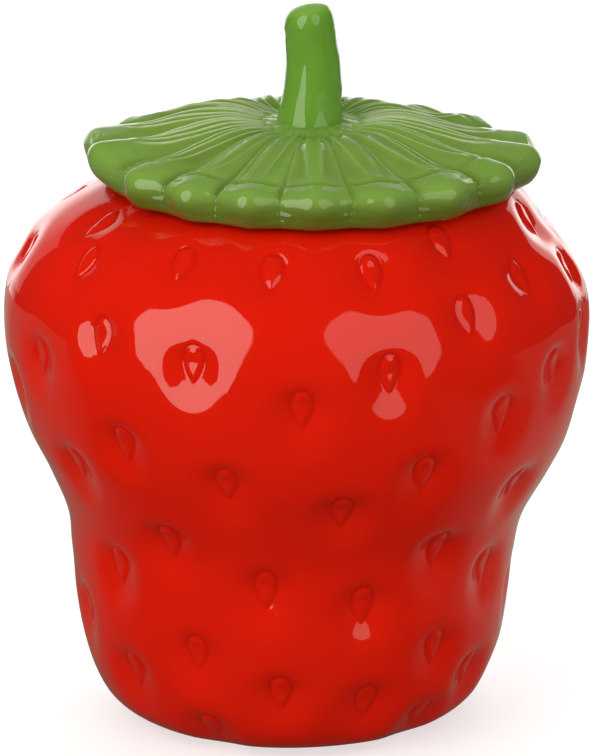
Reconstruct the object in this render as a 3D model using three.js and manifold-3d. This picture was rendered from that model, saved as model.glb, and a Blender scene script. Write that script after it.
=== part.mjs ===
// A ceramic storage jar in the shape of a strawberry, with a leafy lid and a stem for a handle.
// Millimetres, +Z up. The jar stands on z = 0 and its belly is centred on the Z axis.
// Azimuth 0 is the front, towards -Y, and azimuth 90 is the right side, towards +X.
import * as THREE from 'three';
import { mergeGeometries, mergeVertices } from 'three/addons/utils/BufferGeometryUtils.js';
import Module from 'manifold-3d';

const wasm = await Module();
wasm.setup();

// Running clearance between pieces that touch on the real jar
const fitGap = 0.3;

// Body of the jar
const bellyRadius = 95;
const bellyHeight = 133;
const rimHeight = 182;
const wallThickness = 5.5;
const floorThickness = 7;
const floorCornerRadius = 9;
const footRadius = 42;
const footRingWidth = 8;
const footRecess = 2;
const neckRadius = 57;
const neckRise = 2.6;
const mouthRadius = 49;
const throatHeight = 11;
const rimRounding = 0.9;
const mouthOffset = 5;

// Dimples of the fruit and the seed in each one
const dimpleRadius = 12;
const dimpleDepth = 2.4;
const seedLength = 13;
const seedWidth = 7.4;
const seedRise = 1.6;
const seedLip = 0.3;
const seedRoot = 1.4;

// Leafy cap of the lid
const crownRadius = 74.5;
const crownRise = 19;
const crownThickness = 6;
const wellDepth = 4.6;
const leafNotch = 4.2;
const leafGroove = 2.6;
const pleatDepth = 0.7;
const seatRadius = 59;
const seatRelief = 1.4;

// Ring under the cap that finds the mouth, and the silicone seal in its groove
const collarRadius = 45.5;
const collarWall = 5;
const collarDrop = 16;
const collarChamfer = 0.8;
const grooveDepth = 2.5;
const grooveHeight = 6.6;
const grooveDrop = 3.4;
const sealBand = 2.2;
const sealFins = 3;

// Stem that serves as the handle
const stemRadius = 9.4;
const stemFlare = 1.8;
const stemLength = 38.3;
const stemSlant = 8;

// Steps of the facets round each piece, and degrees round the corner of the floor
const fruitSteps = 72;
const fruitRows = 31;
const roundSteps = 40;
const innerSteps = 32;
const innerRows = 9;
const leafSteps = 6;
const stemSteps = 24;
const cornerAngles = [30, 60, 90];

const halvingRounds = 24;
const fullTurn = Math.PI * 2;
const degree = Math.PI / 180;
const shoulderHeight = rimHeight - neckRise;
const seatHeight = rimHeight + fitGap;

// Outline of the fruit below the belly: radius from the foot ring to the belly, and height, as shares
const lowerOutlineShares = [
  [0, 0], [0.12, 0.01], [0.26, 0.032], [0.362, 0.065], [0.437, 0.117], [0.505, 0.2], [0.555, 0.308],
  [0.581, 0.429], [0.623, 0.526], [0.755, 0.639], [0.883, 0.744], [0.962, 0.857], [1, 1],
];

// Outline above the belly: radius from the neck to the belly, and height from belly to shoulder
const upperOutlineShares = [
  [0.983, 0.194], [0.924, 0.366], [0.8, 0.539], [0.625, 0.7], [0.44, 0.841], [0.24, 0.948],
  [0.079, 0.991], [0, 1],
];

// How far the hand-cast fruit leans along X: height, and offset of its centre, as shares
const leanShares = [
  [0, -0.016], [0.3, -0.01], [0.5, 0.014], [0.73, 0.003], [0.84, -0.005], [0.93, -0.014], [1, 0],
];
const mouthShiftStartShare = 0.9;

// Seeds of the front half: azimuth in degrees, and share of the rim height
const frontSeedShares = [
  [-62, 0.95], [77, 0.935], [37, 0.95], [-27, 0.925], [-5, 0.922], [18, 0.918], [-53, 0.9],
  [57, 0.872], [-85, 0.868], [81, 0.845], [37, 0.838], [-41, 0.795], [-20, 0.77], [18, 0.755],
  [78, 0.738], [-60, 0.725], [61, 0.702], [1, 0.698], [44, 0.648], [-77, 0.643], [-37, 0.603],
  [84, 0.58], [26, 0.562], [-15, 0.55], [-55, 0.533], [9, 0.495], [56, 0.49], [90, 0.42],
  [-32, 0.414], [37, 0.392], [-51, 0.338], [-7, 0.34], [59, 0.323], [18, 0.306], [82, 0.25],
  [-73, 0.226], [-26, 0.208], [41, 0.2], [-49, 0.143], [-3, 0.141], [59, 0.127], [21, 0.115],
  [86, 0.085], [42, 0.06], [-25, 0.053],
];

// Outline of a seed, with its blunt end up: share of half its length, and share of half its width
const seedOutlineShares = [[0.95, -0.5], [0.1, -1], [-1, -0.12], [-1, 0.12], [0.1, 1], [0.95, 0.5]];
const seedPeakShare = 0.15;

// Azimuths of the grooves between neighbouring leaves of the cap, in degrees
const leafEdges = [
  -112, -85, -59, -41, -25, -8, 10, 28, 48, 67, 92, 116, 136, 155, 174, 193, 211, 229,
];

// Section of a leaf from under its lip to the edge of the well: radius and height as shares of the
// cap's, then how much of the groove and how much of the notch between leaves it takes
const leafSectionShares = [
  [0.83, 0.01, 0, 0], [0.886, -0.147, 0, 0.2], [0.944, -0.1, 0, 0.6], [0.98, 0.053, 0, 1],
  [1, 0.263, 0.1, 1], [0.992, 0.384, 0.3, 1], [0.936, 0.5, 0.8, 0.7], [0.859, 0.521, 0.9, 0.3],
  [0.785, 0.574, 0.9, 0], [0.671, 0.7, 0.8, 0], [0.577, 0.832, 0.65, 0], [0.47, 0.958, 0.55, 0],
  [0.362, 1, 0.45, 0], [0.282, 0.953, 0.3, 0],
];
const pleatStartShare = 0.82;
const leafRoundness = 1.1;

// How far the tips of the leaves are lifted round the cap: azimuth, and share of the cap's rise
const leafLiftShares = [
  [-112, 0.126], [-99, 0.147], [-85, 0.18], [-72, 0.242], [-60, 0.116], [-48, 0.053], [-30, 0.01],
  [35, 0], [57, 0.063], [80, 0.1], [95, 0.1], [106, 0.063], [124, -0.02], [180, -0.02],
  [232, -0.02], [248, 0.126],
];

// How much shorter the leaves are round the back: azimuth, and share of the cap's radius
const leafTrimShares = [[-112, 0], [104, 0], [124, 0.054], [180, 0.067], [230, 0.067], [248, 0]];
const trimStartShare = 0.8;
const liftStartShare = 0.45;

// Slope from the crest to the well: shares of the way out and of the way up
const wellSlopeShares = [0.5, 0.45];

// The hollow under the cap: how far its roof falls half-way out, and how far its wall leans in at
// the top, as shares of the cap's thickness
const hollowFallShare = 0.25;
const hollowDraftShare = 0.17;

// Where a fin of the seal starts and ends at its tip, as shares of the fins' pitch
const finTipShares = [0.45, 0.65];

// Section of the stem: height, radius and sideways bend as shares of its length and radius
const stemSectionShares = [
  [0.04, 1.07, 0], [0.13, 1.02, 0.02], [0.33, 0.98, 0.05], [0.53, 0.92, 0.05], [0.74, 0.86, -0.03],
  [0.84, 0.85, -0.08], [0.91, 0.79, -0.09], [0.96, 0.65, -0.09], [0.985, 0.42, -0.09],
];

// Reads a table of [place, value] with an eased step between its rows
function easedTable(table, place) {
  for (let row = 1; row < table.length; row += 1) {
    const [start, low] = table[row - 1];
    const [end, high] = table[row];
    if (place <= end) {
      return THREE.MathUtils.lerp(low, high, THREE.MathUtils.smoothstep(place, start, end));
    }
  }
  return table[table.length - 1][1];
}

// A point at an azimuth, radius and height round an upright axis at centreX
function roundPoint(azimuth, radius, height, centreX) {
  return new THREE.Vector3(centreX + radius * Math.sin(azimuth), -radius * Math.cos(azimuth), height);
}

// One ring of points, all at one radius and height
function plainRing(steps, radius, height, centreX) {
  return Array.from({ length: steps }, (_, step) => (
    roundPoint((step / steps) * fullTurn, radius, height, centreX)
  ));
}

// Adds the triangles between two rings, which may differ in their number of points
function bridgeRings(index, first, second) {
  const firstSteps = first.length > 1 ? first.length : 0;
  const secondSteps = second.length > 1 ? second.length : 0;
  let i = 0;
  let j = 0;
  while (i < firstSteps || j < secondSteps) {
    const here = first[i % first.length];
    const there = second[j % second.length];
    const firstLags = (i + 1) * secondSteps <= (j + 1) * firstSteps;
    if (i < firstSteps && (j >= secondSteps || firstLags)) {
      i += 1;
      index.push(here, first[i % first.length], there);
    } else {
      j += 1;
      index.push(here, second[j % second.length], there);
    }
  }
}

// Skins a list of rings. The section runs outwards below, up the outside and inwards above.
function skinRings(rings, closesOnItself) {
  const positions = [];
  const numbered = rings.map((ring) => ring.map((point) => {
    positions.push(point.x, point.y, point.z);
    return positions.length / 3 - 1;
  }));
  const index = [];
  for (let row = 1; row < numbered.length; row += 1) {
    bridgeRings(index, numbered[row - 1], numbered[row]);
  }
  if (closesOnItself) bridgeRings(index, numbered[numbered.length - 1], numbered[0]);
  const geometry = new THREE.BufferGeometry();
  geometry.setAttribute('position', new THREE.Float32BufferAttribute(positions, 3));
  geometry.setIndex(index);
  return geometry;
}

// Turns a closed geometry into a solid that can be joined or cut
function toSolid(geometry) {
  const bare = geometry.clone();
  bare.deleteAttribute('normal');
  bare.deleteAttribute('uv');
  const merged = mergeVertices(bare);
  return new wasm.Manifold(new wasm.Mesh({
    numProp: 3,
    vertProperties: new Float32Array(merged.attributes.position.array),
    triVerts: new Uint32Array(merged.index.array),
  }));
}

// Turns a solid back into a geometry
function toGeometry(solid) {
  const { vertProperties, triVerts } = solid.getMesh();
  const geometry = new THREE.BufferGeometry();
  geometry.setAttribute('position', new THREE.Float32BufferAttribute(vertProperties, 3));
  geometry.setIndex(Array.from(triVerts));
  return geometry;
}

// The fruit's outline as a smooth curve of radius (x) and height (y), from the foot to the neck
function fruitOutline() {
  const lower = lowerOutlineShares.map(([radiusShare, heightShare]) => new THREE.Vector3(
    THREE.MathUtils.lerp(footRadius, bellyRadius, radiusShare), bellyHeight * heightShare, 0,
  ));
  const upper = upperOutlineShares.map(([radiusShare, heightShare]) => new THREE.Vector3(
    THREE.MathUtils.lerp(neckRadius, bellyRadius, radiusShare),
    THREE.MathUtils.lerp(bellyHeight, shoulderHeight, heightShare), 0,
  ));
  return new THREE.CatmullRomCurve3([...lower, ...upper], false, 'centripetal');
}

const outline = fruitOutline();

// Radius, height and outward direction at a share of the outline's length
function outlineStation(lengthShare) {
  const point = outline.getPointAt(lengthShare);
  const tangent = outline.getTangentAt(lengthShare);
  return { radius: point.x, height: point.y, outwards: tangent.y, upwards: -tangent.x };
}

// The station of the outline at a height, found by halving
function stationAtHeight(height) {
  let low = 0;
  let high = 1;
  for (let round = 0; round < halvingRounds; round += 1) {
    const middle = (low + high) / 2;
    if (outline.getPointAt(middle).y < height) low = middle;
    else high = middle;
  }
  return outlineStation((low + high) / 2);
}

// Where the fruit's centre lies along X at a height
function centreAt(height) {
  const lean = bellyRadius * easedTable(leanShares, height / rimHeight);
  const shift = THREE.MathUtils.smoothstep(height, rimHeight * mouthShiftStartShare, shoulderHeight);
  return lean + mouthOffset * shift;
}

// The place and the directions of each seed, front half first and then the same turned half round
function seedPlaces() {
  return [0, Math.PI].flatMap((turn) => frontSeedShares.map(([azimuthDegrees, heightShare]) => {
    const azimuth = azimuthDegrees * degree + turn;
    const station = stationAtHeight(rimHeight * heightShare);
    const radial = roundPoint(azimuth, 1, 0, 0);
    const outwards = radial.clone().multiplyScalar(station.outwards).setZ(station.upwards);
    const upwards = radial.clone().multiplyScalar(-station.upwards).setZ(station.outwards);
    const sideways = new THREE.Vector3().crossVectors(upwards, outwards);
    const centre = roundPoint(azimuth, station.radius, station.height, centreAt(station.height));
    return { centre, outwards, upwards, sideways };
  }));
}

const seeds = seedPlaces();

// Depth of a dimple at a distance from its centre
function dimpleAt(distance) {
  const share = Math.min(distance / dimpleRadius, 1);
  return dimpleDepth * (1 - share * share) ** 2;
}

// One ring of the fruit's skin, pressed in where there are dimples
function fruitRing(lengthShare) {
  const station = outlineStation(lengthShare);
  const centreX = centreAt(station.height);
  return plainRing(fruitSteps, station.radius, station.height, centreX).map((point, step) => {
    const depth = seeds.reduce((sum, seed) => sum + dimpleAt(point.distanceTo(seed.centre)), 0);
    const radial = roundPoint((step / fruitSteps) * fullTurn, 1, 0, 0);
    const inwards = radial.multiplyScalar(-station.outwards).setZ(-station.upwards);
    return point.addScaledVector(inwards, depth);
  });
}

// The recess under the foot, from its centre to the foot ring
function footRings() {
  const centreX = centreAt(0);
  const ringInner = footRadius - footRingWidth;
  return [
    [new THREE.Vector3(centreX, 0, footRecess)],
    plainRing(roundSteps, ringInner - footRecess, footRecess, centreX),
    plainRing(roundSteps, ringInner, 0, centreX),
  ];
}

// The neck, the flat rim and the straight throat
function neckRings() {
  const centreX = centreAt(rimHeight);
  const throatBottom = rimHeight - throatHeight;
  return [
    plainRing(roundSteps, neckRadius, rimHeight - rimRounding, centreX),
    plainRing(roundSteps, neckRadius - rimRounding, rimHeight, centreX),
    plainRing(roundSteps, mouthRadius + rimRounding, rimHeight, centreX),
    plainRing(roundSteps, mouthRadius, rimHeight - rimRounding, centreX),
    plainRing(roundSteps, mouthRadius, throatBottom + rimRounding, centreX),
    plainRing(roundSteps, mouthRadius + rimRounding, throatBottom, centreX),
  ];
}

// The inside of the jar from below the throat to the middle of its floor
function insideRings() {
  const rings = [];
  const underShoulder = rimHeight - throatHeight + rimRounding;
  const cornerTop = floorThickness + floorCornerRadius;
  for (let row = 0; row <= innerRows; row += 1) {
    const height = THREE.MathUtils.lerp(shoulderHeight, cornerTop, row / innerRows);
    const station = stationAtHeight(height);
    const radius = station.radius - wallThickness * station.outwards;
    const wallHeight = Math.min(station.height - wallThickness * station.upwards, underShoulder);
    if (radius > mouthRadius + wallThickness / 2) {
      rings.push(plainRing(innerSteps, radius, wallHeight, centreAt(wallHeight)));
    }
  }
  const last = rings[rings.length - 1][0];
  const cornerCentre = Math.abs(last.y) - floorCornerRadius;
  for (const angle of cornerAngles) {
    const radius = cornerCentre + floorCornerRadius * Math.cos(angle * degree);
    const height = last.z - (last.z - floorThickness) * Math.sin(angle * degree);
    rings.push(plainRing(innerSteps, radius, height, centreAt(height)));
  }
  rings.push([new THREE.Vector3(centreAt(floorThickness), 0, floorThickness)]);
  return rings;
}

// One seed, a low teardrop with its point down, rooted under the floor of its dimple
function seedGeometry(seed) {
  const place = (along, across, level) => seed.centre.clone()
    .addScaledVector(seed.upwards, along)
    .addScaledVector(seed.sideways, across)
    .addScaledVector(seed.outwards, level);
  const rim = seedOutlineShares.map(([alongShare, acrossShare]) => {
    const along = (alongShare * seedLength) / 2;
    const across = (acrossShare * seedWidth) / 2;
    return place(along, across, seedLip - dimpleAt(Math.hypot(along, across)));
  });
  const peakAlong = (seedPeakShare * seedLength) / 2;
  const root = [place(peakAlong, 0, -dimpleDepth - seedRoot)];
  const peak = [place(peakAlong, 0, seedRise - dimpleDepth)];
  return skinRings([root, rim, peak], false);
}

// The hollow fruit with its dimples and seeds
function jarBody() {
  const rings = [
    ...footRings(),
    ...Array.from({ length: fruitRows + 1 }, (_, row) => fruitRing(row / fruitRows)),
    ...neckRings(),
    ...insideRings(),
  ];
  const fruit = toSolid(skinRings(rings, false));
  const seedSolids = toSolid(mergeGeometries(seeds.map(seedGeometry)));
  return toGeometry(fruit.add(seedSolids));
}

// Azimuth of each step round the cap, and how far it is across its leaf
function leafStations() {
  return leafEdges.flatMap((edge, leaf) => {
    const next = leaf + 1 < leafEdges.length ? leafEdges[leaf + 1] : leafEdges[0] + fullTurn / degree;
    return Array.from({ length: leafSteps }, (_, step) => {
      const across = step / leafSteps;
      return { azimuth: THREE.MathUtils.lerp(edge, next, across) * degree, across, step };
    });
  });
}

// How far the leaves are lifted at an azimuth and a distance from the middle of the cap
function leafLiftAt(azimuth, radius) {
  const reach = THREE.MathUtils.smoothstep(radius, crownRadius * liftStartShare, crownRadius);
  return crownRise * easedTable(leafLiftShares, azimuth / degree) * reach;
}

// How much shorter the leaves are at an azimuth and a distance from the middle of the cap
function leafTrimAt(azimuth, radius) {
  const reach = THREE.MathUtils.smoothstep(radius, crownRadius * trimStartShare, crownRadius);
  return crownRadius * easedTable(leafTrimShares, azimuth / degree) * reach;
}

// One ring of the cap's leaves
function leafRing([radiusShare, heightShare, grooveShare, notchShare]) {
  return leafStations().map(({ azimuth, across, step }) => {
    const hollow = 1 - Math.sin(Math.PI * across) ** leafRoundness;
    const pleat = step > 0 && step % 2 === 0 && radiusShare < pleatStartShare ? pleatDepth : 0;
    const full = crownRadius * radiusShare - leafNotch * notchShare * hollow;
    const radius = full - leafTrimAt(azimuth, full);
    const lowered = leafGroove * grooveShare * hollow + pleat;
    const height = seatHeight + crownRise * heightShare - lowered + leafLiftAt(azimuth, full);
    return roundPoint(azimuth, radius, height, mouthOffset);
  });
}

// A plain ring that starts at the same azimuth as the leaves do
function capRing(steps, radius, height) {
  return Array.from({ length: steps }, (_, step) => (
    roundPoint(leafEdges[0] * degree + (step / steps) * fullTurn, radius, height, mouthOffset)
  ));
}

// The leafy cap: hollow under its middle, flat where it sits on the rim
function lidCrown() {
  const crest = seatHeight + crownRise;
  const wellFloor = crest - wellDepth;
  const wellRadius = stemRadius + stemFlare + fitGap;
  const hollowRadius = collarRadius - collarWall;
  const crestRadius = crownRadius * leafSectionShares[leafSectionShares.length - 2][0];
  const hollowTop = crest - crownThickness;
  const [slopeOutShare, slopeUpShare] = wellSlopeShares;
  const slopeRadius = THREE.MathUtils.lerp(wellRadius, crestRadius, slopeOutShare);
  const slopeHeight = THREE.MathUtils.lerp(wellFloor, crest, slopeUpShare);
  const hollowFall = crownThickness * hollowFallShare;
  const hollowDraft = crownThickness * hollowDraftShare;
  const rings = [
    [new THREE.Vector3(mouthOffset, 0, wellFloor - crownThickness)],
    capRing(roundSteps, wellRadius, wellFloor - crownThickness),
    capRing(roundSteps, crestRadius, hollowTop),
    capRing(roundSteps, (crestRadius + hollowRadius) / 2, hollowTop - hollowFall),
    capRing(roundSteps, hollowRadius - hollowDraft, hollowTop - crownThickness),
    capRing(roundSteps, hollowRadius, seatHeight),
    capRing(roundSteps, seatRadius, seatHeight),
    capRing(roundSteps, seatRadius + seatRelief, seatHeight + seatRelief),
    ...leafSectionShares.map(leafRing),
    capRing(roundSteps, slopeRadius, slopeHeight),
    capRing(roundSteps, wellRadius, wellFloor),
    [new THREE.Vector3(mouthOffset, 0, wellFloor)],
  ];
  return skinRings(rings, false);
}

// The locating ring with the groove for the seal
function lidCollar() {
  const top = rimHeight;
  const bottom = top - collarDrop;
  const inner = collarRadius - collarWall;
  const grooveTop = top - grooveDrop;
  const grooveBottom = grooveTop - grooveHeight;
  const section = [
    [inner + collarChamfer, bottom], [collarRadius - collarChamfer, bottom],
    [collarRadius, bottom + collarChamfer], [collarRadius, grooveBottom],
    [collarRadius - grooveDepth, grooveBottom], [collarRadius - grooveDepth, grooveTop],
    [collarRadius, grooveTop], [collarRadius, top], [inner, top], [inner, bottom + collarChamfer],
  ];
  return skinRings(section.map(([radius, height]) => (
    plainRing(roundSteps, radius, height, mouthOffset)
  )), true);
}

// The finned silicone ring between the collar and the throat
function lidSealRing() {
  const inner = collarRadius - grooveDepth + fitGap;
  const root = inner + sealBand;
  const tip = mouthRadius - fitGap;
  const top = rimHeight - grooveDrop - fitGap;
  const bottom = rimHeight - grooveDrop - grooveHeight + fitGap;
  const finPitch = (top - bottom) / sealFins;
  const section = [[inner, bottom], [root, bottom]];
  for (let fin = 0; fin < sealFins; fin += 1) {
    const finBottom = bottom + finPitch * fin;
    finTipShares.forEach((share) => section.push([tip, finBottom + finPitch * share]));
    section.push([root, finBottom + finPitch]);
  }
  section.push([inner, top]);
  return skinRings(section.map(([radius, height]) => (
    plainRing(roundSteps, radius, height, mouthOffset)
  )), true);
}

// The tapered stem with its slanted, rounded top
function stemHandle() {
  const base = seatHeight + crownRise - wellDepth + fitGap;
  const slant = Math.tan(stemSlant * degree);
  const sections = stemSectionShares.map(([heightShare, radiusShare, bendShare]) => {
    const centreX = mouthOffset + stemRadius * bendShare;
    const ring = plainRing(stemSteps, stemRadius * radiusShare, base + stemLength * heightShare, centreX);
    return ring.map((point) => point.setZ(point.z + (point.x - centreX) * slant * heightShare ** 2));
  });
  const bend = stemRadius * stemSectionShares[stemSectionShares.length - 1][2];
  return skinRings([
    [new THREE.Vector3(mouthOffset, 0, base)],
    plainRing(stemSteps, stemRadius + stemFlare - fitGap, base, mouthOffset),
    ...sections,
    [new THREE.Vector3(mouthOffset + bend, 0, base + stemLength)],
  ], false);
}

// Names a geometry and gives it its finish
function makePiece(name, geometry, color, roughness) {
  geometry.computeVertexNormals();
  const mesh = new THREE.Mesh(geometry, new THREE.MeshStandardMaterial({ color, roughness, metalness: 0 }));
  mesh.name = name;
  return mesh;
}

const jar = new THREE.Group();
jar.add(makePiece('jar_body', jarBody(), '#d8230f', 0.12));

const lid = new THREE.Group();
lid.add(makePiece('lid_crown', lidCrown(), '#76a642', 0.14));
lid.add(makePiece('stem_handle', stemHandle(), '#6a9a38', 0.14));
lid.add(makePiece('lid_collar', lidCollar(), '#76a642', 0.3));
lid.add(makePiece('lid_seal_ring', lidSealRing(), '#e6e3dc', 0.5));
jar.add(lid);

export default jar;
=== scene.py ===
"""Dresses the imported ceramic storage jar: the glazed fruit, the leafy lid with its stem, the seal.

Sizes are in millimetres, as in the part's source, and a mesh is scaled to metres when it is finished.
Azimuth 0 is the front, towards -Y, and azimuth 90 is the right side, towards +X.
"""

import logging
import math
from abc import ABC, abstractmethod
from collections.abc import Callable, Sequence
from dataclasses import dataclass, field
from enum import Enum
from typing import ClassVar, NamedTuple

import bmesh
import bpy
from mathutils import Matrix, Vector, kdtree, noise

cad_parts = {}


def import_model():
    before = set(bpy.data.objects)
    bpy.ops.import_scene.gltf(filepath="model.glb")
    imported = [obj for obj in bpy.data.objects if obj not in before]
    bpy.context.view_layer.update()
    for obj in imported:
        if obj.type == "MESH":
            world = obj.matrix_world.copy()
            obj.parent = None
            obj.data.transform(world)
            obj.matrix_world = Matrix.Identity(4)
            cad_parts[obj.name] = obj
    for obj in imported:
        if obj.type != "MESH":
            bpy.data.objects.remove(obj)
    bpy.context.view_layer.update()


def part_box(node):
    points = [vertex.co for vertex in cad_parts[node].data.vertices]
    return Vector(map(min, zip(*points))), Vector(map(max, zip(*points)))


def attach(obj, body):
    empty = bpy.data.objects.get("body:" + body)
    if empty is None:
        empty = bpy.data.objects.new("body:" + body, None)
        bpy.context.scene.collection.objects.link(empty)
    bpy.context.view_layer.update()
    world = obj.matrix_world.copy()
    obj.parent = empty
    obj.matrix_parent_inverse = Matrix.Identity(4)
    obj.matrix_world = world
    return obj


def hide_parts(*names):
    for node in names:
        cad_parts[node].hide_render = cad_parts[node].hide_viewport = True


Colour = tuple[float, float, float, float]
Table = Sequence[tuple[float, float]]

MM = 0.001
FULL_TURN = 2 * math.pi
FULL_CIRCLE = 360
WELD = 0.01
LEVEL = 1e-4
ROUNDING = 1e-6
SHARP_ANGLE = math.radians(20)
LID_AXIS = 5.0
FIT_GAP = 0.3
WARM_WHITE = (1.0, 0.97, 0.86)
LOG = logging.getLogger("jar")


class Body(Enum):
    """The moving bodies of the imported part."""

    JAR = "jar"
    SEAL = "seal"
    LID = "lid"


class Slot(Enum):
    """Names of material slots, listed with each piece."""

    RED_GLAZE = "red_glaze"
    LEAF_GLAZE = "leaf_glaze"
    STEM_GLAZE = "stem_glaze"
    COLLAR_GLAZE = "collar_glaze"
    SILICONE = "seal_silicone"


class Mark(Enum):
    """Vertex attributes that the finishes read."""

    # The pool mark also carries painted shade under the cap's lip, and the thin mark also carries painted
    # highlight lines on the leaf ridges and a painted sheen on the stem's top.
    POOL_AND_SHADE = "pool"
    THIN = "thin"
    BARE = "bare"
    LINER = "liner"


def lerp(start: float, end: float, share: float) -> float:
    """The value at a share of the way from start to end."""
    return start + (end - start) * share


def smoothstep(place: float, start: float, end: float) -> float:
    """An eased step from 0 at start to 1 at end."""
    share = min(max((place - start) / (end - start), 0.0), 1.0)
    return share * share * (3 - 2 * share)


def bell(distance: float, width: float) -> float:
    """A bell curve that is 1 at no distance and about a third at one width."""
    return math.exp(-((distance / width) ** 2))


def eased_table(table: Table, place: float) -> float:
    """Reads a table of (place, value) with an eased step between its rows.

    Args:
        table: Rows in rising order of place.
        place: Where to read it.

    Returns:
        The value there, or the last value past the end.
    """
    for (start, low), (end, high) in zip(table, table[1:]):
        if place <= end:
            return lerp(low, high, smoothstep(place, start, end))
    return table[-1][1]


def grey(level: float) -> Colour:
    """A grey of a level from 0 to 1."""
    return (level, level, level, 1)


def round_point(azimuth: float, radius: float, height: float, centre_x: float) -> Vector:
    """A point at an azimuth, radius and height round an upright axis at centre_x."""
    return Vector((centre_x + radius * math.sin(azimuth), -radius * math.cos(azimuth), height))


class Station(NamedTuple):
    """A place on an outline, with its outward direction."""

    radius: float
    height: float
    outwards: float
    upwards: float


class Outline:
    """A smooth curve through points of radius and height, read by shares of its length."""

    def __init__(self, points: Sequence[tuple[float, float]], steps: int = 40) -> None:
        """Samples a centripetal curve through the points.

        Args:
            points: Radius and height of each point.
            steps: Samples between two points.
        """
        knots = [Vector(point) for point in points]
        knots = [knots[0] * 2 - knots[1], *knots, knots[-1] * 2 - knots[-2]]
        self.samples = [
            self._between(knots[span : span + 4], step / steps)
            for span in range(len(points) - 1)
            for step in range(steps)
        ]
        self.samples.append(knots[-2])
        self.lengths = [0.0]
        for here, there in zip(self.samples, self.samples[1:]):
            self.lengths.append(self.lengths[-1] + (there - here).length)
        self.knot_shares = [self.lengths[i * steps] / self.lengths[-1] for i in range(len(points))]

    @staticmethod
    def _between(knots: Sequence[Vector], share: float) -> Vector:
        """Works out a point of the curve.

        Args:
            knots: Four points that the curve runs through.
            share: Share of the way from the second to the third.

        Returns:
            The point.
        """
        before, start, end, after = knots
        first, middle, last = (
            math.sqrt((far - near).length) for near, far in zip(knots, knots[1:])
        )
        leave = ((start - before) / first - (end - before) / (first + middle) + (end - start) / middle)
        arrive = ((end - start) / middle - (after - start) / (middle + last) + (after - end) / last)
        square, cube = share**2, share**3
        return (
            start * (2 * cube - 3 * square + 1)
            + end * (3 * square - 2 * cube)
            + leave * (middle * (cube - 2 * square + share))
            + arrive * (middle * (cube - square))
        )

    def _station(self, index: int, share: float) -> Station:
        """Works out a station between two samples.

        Args:
            index: Number of the first sample.
            share: Share of the way to the next.

        Returns:
            The station.
        """
        here, there = self.samples[index], self.samples[index + 1]
        point = here.lerp(there, share)
        last = len(self.samples) - 2
        behind = self.samples[max(index - 1, 0)]
        ahead = self.samples[min(index + 1, last) + 1]
        along = (there - behind).normalized().lerp((ahead - here).normalized(), share).normalized()
        return Station(point.x, point.y, along.y, -along.x)

    def at(self, share: float) -> Station:
        """Finds the station at a share of the length.

        Args:
            share: The share, from 0 to 1.

        Returns:
            The station.
        """
        target = min(max(share, 0.0), 1.0) * self.lengths[-1]
        low, high = 0, len(self.lengths) - 2
        while low < high:
            middle = (low + high + 1) // 2
            low, high = (middle, high) if self.lengths[middle] <= target else (low, middle - 1)
        step = self.lengths[low + 1] - self.lengths[low]
        return self._station(low, (target - self.lengths[low]) / step)

    def at_height(self, height: float) -> Station:
        """Finds a station by its height, on an outline that rises all the way.

        Args:
            height: The height.

        Returns:
            The first station there.
        """
        index = 0
        while index < len(self.samples) - 2 and self.samples[index + 1].y < height:
            index += 1
        here, there = self.samples[index], self.samples[index + 1]
        return self._station(index, min(max((height - here.y) / (there.y - here.y), 0.0), 1.0))


def maths_operator(operation: str, swapped: bool = False) -> Callable[["Wave", "Wave | float"], "Wave"]:
    """Makes an operator of Wave.

    Args:
        operation: What its Math node does.
        swapped: Whether the wave is the second of the two values.

    Returns:
        The operator, which adds one Math node.
    """
    def apply(wave: "Wave", other: "Wave | float") -> "Wave":
        """Adds the node."""
        return wave.tree.maths(operation, *((other, wave) if swapped else (wave, other)))

    return apply


class Wave:
    """A socket of a node tree, so that shader maths reads as Python."""

    __add__, __radd__ = maths_operator("ADD"), maths_operator("ADD", swapped=True)
    __sub__, __rsub__ = maths_operator("SUBTRACT"), maths_operator("SUBTRACT", swapped=True)
    __mul__, __rmul__ = maths_operator("MULTIPLY"), maths_operator("MULTIPLY", swapped=True)

    def __init__(self, tree: "ShaderTree", socket: bpy.types.NodeSocket) -> None:
        """Keeps the tree that makes the Math nodes."""
        self.tree = tree
        self.socket = socket

    def clamped(self) -> "Wave":
        """This value kept between 0 and 1."""
        return self.tree.maths("MINIMUM", self.tree.maths("MAXIMUM", self, 0.0), 1.0)

    def ramped(self, start: float, slope: float) -> "Wave":
        """A straight rise from 0 at the start, kept between 0 and 1."""
        return ((self - start) * slope).clamped()


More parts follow.
